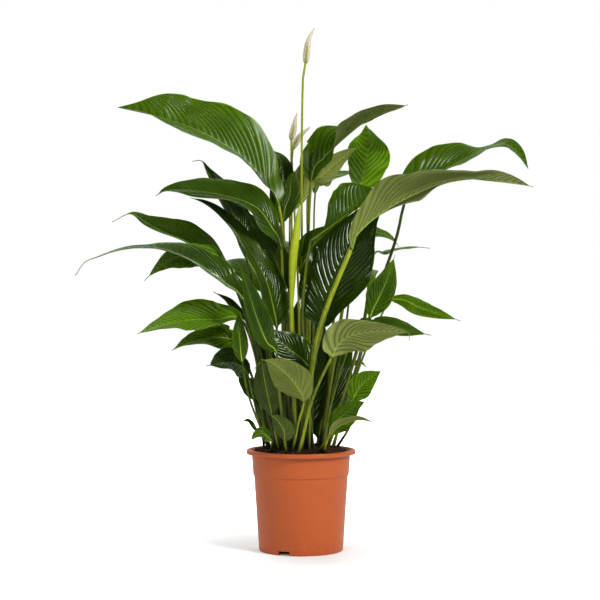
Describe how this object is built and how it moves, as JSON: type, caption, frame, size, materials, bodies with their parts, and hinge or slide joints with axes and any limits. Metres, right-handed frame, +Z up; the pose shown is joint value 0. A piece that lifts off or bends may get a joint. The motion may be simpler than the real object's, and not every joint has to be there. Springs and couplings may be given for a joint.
{
  "type": "potted peace lily",
  "caption": "Peace lily with broad glossy arching leaves and furled cream spathes on slim stalks, growing in compost in a round terracotta-coloured plastic nursery pot with a wide rim.",
  "frame": {"origin": "on the pot's axis, at the flat underside that it stands on", "axes": "+Z up along the pot's axis, -Y towards the plant's front, +X to the right as seen from the front"},
  "size_m": [0.6972, 0.5158, 0.8161],
  "materials": {
    "pot_plastic": "satin",
    "compost": "matte",
    "leaf": "gloss",
    "young_leaf": "satin",
    "flower_stalk": "satin",
    "spathe": "satin"
  },
  "bodies": {
    "root": {"pot": "pot_plastic", "soil": "compost", "leaf_top_left": "leaf", "leaf_top_left_behind": "leaf", "leaf_centre_small": "leaf", "leaf_centre_light": "leaf", "leaf_left_second": "leaf", "leaf_left_second_behind": "leaf", "leaf_centre_rising": "leaf", "leaf_left_third": "leaf", "leaf_left_fourth": "leaf", "leaf_left_fourth_below": "leaf", "leaf_left_fifth": "leaf", "leaf_left_sixth": "leaf", "leaf_left_small_upright": "leaf", "leaf_left_small_dark": "leaf", "leaf_left_dark_glossy": "leaf", "leaf_left_low_green": "leaf", "leaf_front_left_shade": "leaf", "leaf_front_olive": "leaf", "leaf_front_dark": "leaf", "leaf_left_centre_long": "leaf", "leaf_behind_second": "leaf", "leaf_striped_behind": "leaf", "leaf_low_left_tip": "leaf", "leaf_low_left_thin": "leaf", "leaf_front_small_olive": "leaf", "leaf_young": "young_leaf", "leaf_top_right": "leaf", "leaf_top_right_light": "leaf", "leaf_top_right_grey": "leaf", "leaf_back_broad": "leaf", "leaf_right_mid": "leaf", "leaf_right_long": "leaf", "leaf_right_upper": "leaf", "leaf_right_grey_back": "leaf", "leaf_right_thin": "leaf", "leaf_right_upright": "leaf", "leaf_right_narrow": "leaf", "leaf_right_low_tip": "leaf", "leaf_right_low_dark": "leaf", "leaf_front_right_light": "leaf", "leaf_right_centre_big": "leaf", "leaf_low_right_bright": "leaf", "leaf_low_right_broad": "leaf", "leaf_low_right_folded": "leaf", "leaf_right_tiny_back": "leaf", "leaf_back_centre": "leaf", "leaf_back_left": "leaf", "leaf_back_right": "leaf", "leaf_back_low_left": "leaf", "leaf_back_low_right": "leaf", "leaf_back_low": "leaf", "leaf_centre_low": "leaf", "flower_tall_stalk": "flower_stalk", "flower_left_stalk": "flower_stalk", "flower_middle_stalk": "flower_stalk", "flower_tall_spathe": "spathe", "flower_left_spathe": "spathe", "flower_middle_spathe": "spathe"}
  },
  "joints": []
}
